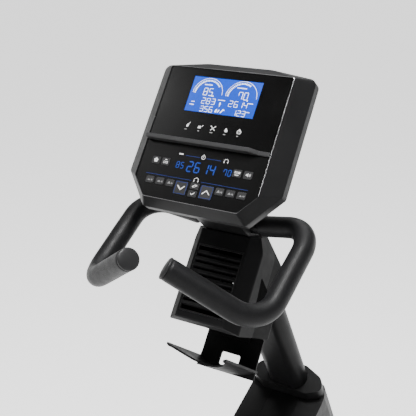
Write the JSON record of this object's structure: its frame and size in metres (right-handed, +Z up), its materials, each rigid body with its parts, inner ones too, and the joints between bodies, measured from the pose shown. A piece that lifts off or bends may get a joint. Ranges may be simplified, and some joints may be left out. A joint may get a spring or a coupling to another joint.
{
  "type": "exercise bike",
  "caption": "Upright exercise bike: tilted console on a leaning mast, bullhorn handlebar, fan housing with bottle cradle, belt-driven flywheel in a shroud, sliding saddle.",
  "frame": {"origin": "on the floor under the middle of the bike's bounding box", "axes": "+X to the rider's right, +Y forward, the way the rider faces, +Z up"},
  "size_m": [0.54, 1.34, 1.4238],
  "materials": {
    "frame_steel": "satin black powder coat",
    "mast_paint": "satin black powder coat",
    "bar_steel": "satin black",
    "zinc_steel": "zinc plated",
    "machined_steel": "machined",
    "seat_post_steel": "bright chrome",
    "cast_iron": "machined cast iron",
    "crank_metal": "satin",
    "foam": "fine-pored foam",
    "grip_cap": "moulded",
    "dark_plastic": "fine texture",
    "shell_plastic": "fine texture, black",
    "side_plastic": "fine texture, black",
    "strip_plastic": "fine texture, black",
    "black_plastic": "moulded black",
    "bezel_plastic": "fine texture, black",
    "panel_gloss": "glossy black",
    "panel_satin": "satin black",
    "key_plastic": "soft-touch grey",
    "lcd": "lit blue display",
    "board": "green laminate",
    "wheel_rubber": "hard rubber",
    "belt_rubber": "ribbed",
    "saddle_skin": "synthetic leather"
  },
  "bodies": {
    "base": {"main_frame": "frame_steel", "front_stabilizer": "frame_steel", "rear_stabilizer": "frame_steel", "stabilizer_end_caps": "black_plastic", "frame_bolts": "zinc_steel", "power_inlet": "black_plastic", "mast_tube": "mast_paint", "handlebar": "bar_steel", "foam_grips": "foam", "grip_end_caps": "grip_cap", "handlebar_clamp": "crank_metal", "fan_housing_front": "shell_plastic", "fan_grille": "black_plastic", "fan_housing_rear": "side_plastic", "fan_motor": "machined_steel", "bottle_holder": "side_plastic", "console_neck": "dark_plastic", "console_back_case": "shell_plastic", "console_bezel": "bezel_plastic", "display_panel": "panel_gloss", "control_panel": "panel_satin", "media_shelf": "side_plastic", "lcd_screen": "lcd", "circuit_board": "board", "shroud_left": "side_plastic", "shroud_right": "side_plastic", "shroud_top_strip": "strip_plastic", "shroud_front_cover": "side_plastic", "flywheel_axle": "machined_steel", "drive_belt": "belt_rubber", "bearings": "machined_steel", "brake_motor": "black_plastic", "seat_sleeve": "black_plastic"},
    "leveler_left": {"rear_leveler_left": "black_plastic"},
    "leveler_right": {"rear_leveler_right": "black_plastic"},
    "wheel_left": {"transport_wheel_left": "wheel_rubber"},
    "wheel_right": {"transport_wheel_right": "wheel_rubber"},
    "fan_rotor": {"fan_impeller": "black_plastic"},
    "crank": {"crank_axle": "machined_steel", "crank_arms": "crank_metal", "drive_pulley": "black_plastic"},
    "left_pedal": {"pedal_left": "black_plastic"},
    "right_pedal": {"pedal_right": "black_plastic"},
    "flywheel_disc": {"flywheel": "cast_iron", "flywheel_pulley": "machined_steel"},
    "magnet_yoke": {"magnet_bracket": "zinc_steel"},
    "saddle_post": {"seat_post": "seat_post_steel", "saddle_shell": "black_plastic", "saddle_cushion": "saddle_skin"},
    "post_pin": {"seat_pin": "black_plastic"},
    "fan_key_body": {"fan_key": "key_plastic"},
    "wireless_key_body": {"wireless_key": "key_plastic"},
    "display_key_body": {"display_key": "key_plastic"},
    "volume_key_body": {"volume_key": "key_plastic"},
    "quick_keys_left_body": {"quick_keys_left": "key_plastic"},
    "quick_keys_right_body": {"quick_keys_right": "key_plastic"},
    "down_key_body": {"down_key": "key_plastic"},
    "up_key_body": {"up_key": "key_plastic"},
    "start_key_body": {"start_key": "key_plastic"},
    "stop_key_body": {"stop_key": "key_plastic"}
  },
  "joints": [
    {"name": "crank_spin", "type": "hinge", "parent": "base", "child": "crank", "pos_m": [0, -0.31, 0.31], "axis": [-1, 0, 0], "continuous": true},
    {"name": "flywheel_spin", "type": "hinge", "parent": "base", "child": "flywheel_disc", "pos_m": [0, 0.23, 0.31], "axis": [-1, 0, 0], "continuous": true},
    {"name": "left_pedal_spin", "type": "hinge", "parent": "crank", "child": "left_pedal", "pos_m": [0, -0.45417, 0.40009], "axis": [-1, 0, 0], "continuous": true},
    {"name": "right_pedal_spin", "type": "hinge", "parent": "crank", "child": "right_pedal", "pos_m": [0, -0.16583, 0.21991], "axis": [-1, 0, 0], "continuous": true},
    {"name": "magnet_swing", "type": "hinge", "parent": "base", "child": "magnet_yoke", "pos_m": [0, 0.27, 0.452], "axis": [-1, 0, 0], "range_deg": [0, 3.5]},
    {"name": "seat_height", "type": "slide", "parent": "base", "child": "saddle_post", "axis": [0, -0.2756, 0.9613], "range_m": [-0.1, 0.1]},
    {"name": "seat_pin_pull", "type": "slide", "parent": "base", "child": "post_pin", "axis": [1, 0, 0], "range_m": [0, 0.006], "stiffness_N_per_m": 300},
    {"name": "fan_spin", "type": "hinge", "parent": "base", "child": "fan_rotor", "pos_m": [0, 0.03384, 0.98933], "axis": [0, -0.8151, 0.5793], "continuous": true},
    {"name": "wheel_left_spin", "type": "hinge", "parent": "base", "child": "wheel_left", "pos_m": [-0.236, 0.644, 0.03], "axis": [1, 0, 0], "continuous": true},
    {"name": "wheel_right_spin", "type": "hinge", "parent": "base", "child": "wheel_right", "pos_m": [0.236, 0.644, 0.03], "axis": [1, 0, 0], "continuous": true},
    {"name": "leveler_left_screw", "type": "slide", "parent": "base", "child": "leveler_left", "axis": [0, 0, 1], "range_m": [-0.01, 0]},
    {"name": "leveler_right_screw", "type": "slide", "parent": "base", "child": "leveler_right", "axis": [0, 0, 1], "range_m": [-0.01, 0]},
    {"name": "fan_key_press", "type": "slide", "parent": "base", "child": "fan_key_body", "axis": [0, 0.8151, -0.5793], "range_m": [0, 0.001], "stiffness_N_per_m": 400},
    {"name": "wireless_key_press", "type": "slide", "parent": "base", "child": "wireless_key_body", "axis": [0, 0.8151, -0.5793], "range_m": [0, 0.001], "stiffness_N_per_m": 400},
    {"name": "display_key_press", "type": "slide", "parent": "base", "child": "display_key_body", "axis": [0, 0.8151, -0.5793], "range_m": [0, 0.001], "stiffness_N_per_m": 400},
    {"name": "volume_key_press", "type": "slide", "parent": "base", "child": "volume_key_body", "axis": [0, 0.8151, -0.5793], "range_m": [0, 0.001], "stiffness_N_per_m": 400},
    {"name": "quick_keys_left_press", "type": "slide", "parent": "base", "child": "quick_keys_left_body", "axis": [0, 0.8151, -0.5793], "range_m": [0, 0.001], "stiffness_N_per_m": 400},
    {"name": "quick_keys_right_press", "type": "slide", "parent": "base", "child": "quick_keys_right_body", "axis": [0, 0.8151, -0.5793], "range_m": [0, 0.001], "stiffness_N_per_m": 400},
    {"name": "down_key_press", "type": "slide", "parent": "base", "child": "down_key_body", "axis": [0, 0.8151, -0.5793], "range_m": [0, 0.001], "stiffness_N_per_m": 400},
    {"name": "up_key_press", "type": "slide", "parent": "base", "child": "up_key_body", "axis": [0, 0.8151, -0.5793], "range_m": [0, 0.001], "stiffness_N_per_m": 400},
    {"name": "start_key_press", "type": "slide", "parent": "base", "child": "start_key_body", "axis": [0, 0.8151, -0.5793], "range_m": [0, 0.001], "stiffness_N_per_m": 400},
    {"name": "stop_key_press", "type": "slide", "parent": "base", "child": "stop_key_body", "axis": [0, 0.8151, -0.5793], "range_m": [0, 0.001], "stiffness_N_per_m": 400}
  ],
  "couplings": [
    {"joint": "flywheel_spin", "follows": "crank_spin", "ratio": 5.4}
  ]
}
